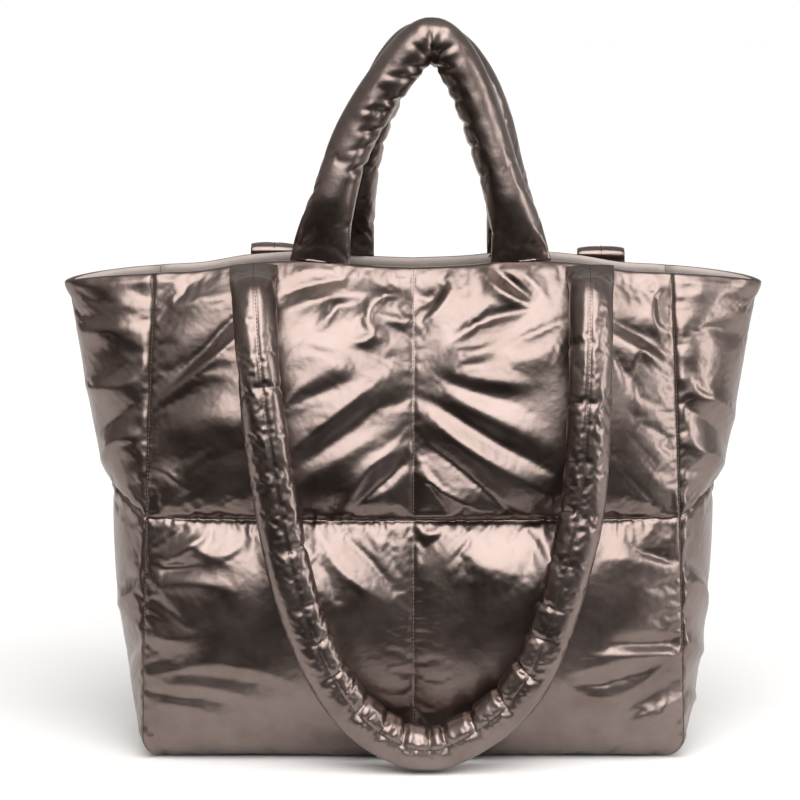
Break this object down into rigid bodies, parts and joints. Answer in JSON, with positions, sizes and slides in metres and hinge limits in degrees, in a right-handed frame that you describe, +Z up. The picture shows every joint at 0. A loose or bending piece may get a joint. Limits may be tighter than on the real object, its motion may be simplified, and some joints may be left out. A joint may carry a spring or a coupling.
{
  "type": "puffer tote bag",
  "caption": "Large quilted puffer tote bag in metallic nylon, with folded-out side gussets, padded carrying handles that stand up and long padded shoulder straps that hang down",
  "frame": {"origin": "middle of the bag's footprint, at the level it stands on", "axes": "+Z up, X across the bag, the front faces -Y"},
  "size_m": [0.4996, 0.2446, 0.52],
  "materials": {
    "front_panel": "metallic bronze nylon, glossy, padded and quilted in two rows of two cells",
    "back_panel": "metallic bronze nylon, glossy, padded and quilted in two rows of two cells",
    "right_gusset": "metallic bronze nylon, glossy, padded, folded outwards at the rim",
    "left_gusset": "metallic bronze nylon, glossy, padded, folded outwards at the rim",
    "base_panel": "metallic bronze nylon, glossy, padded",
    "front_handle": "metallic bronze nylon tube, stuffed",
    "back_handle": "metallic bronze nylon tube, stuffed",
    "front_strap": "metallic bronze nylon tube, stuffed, stitched along its front",
    "back_strap": "metallic bronze nylon tube, stuffed, stitched along its front"
  },
  "bodies": {
    "root": {"front_panel": "front_panel", "back_panel": "back_panel", "right_gusset": "right_gusset", "left_gusset": "left_gusset", "base_panel": "base_panel", "front_handle": "front_handle", "back_handle": "back_handle", "front_strap": "front_strap", "back_strap": "back_strap"}
  },
  "joints": []
}
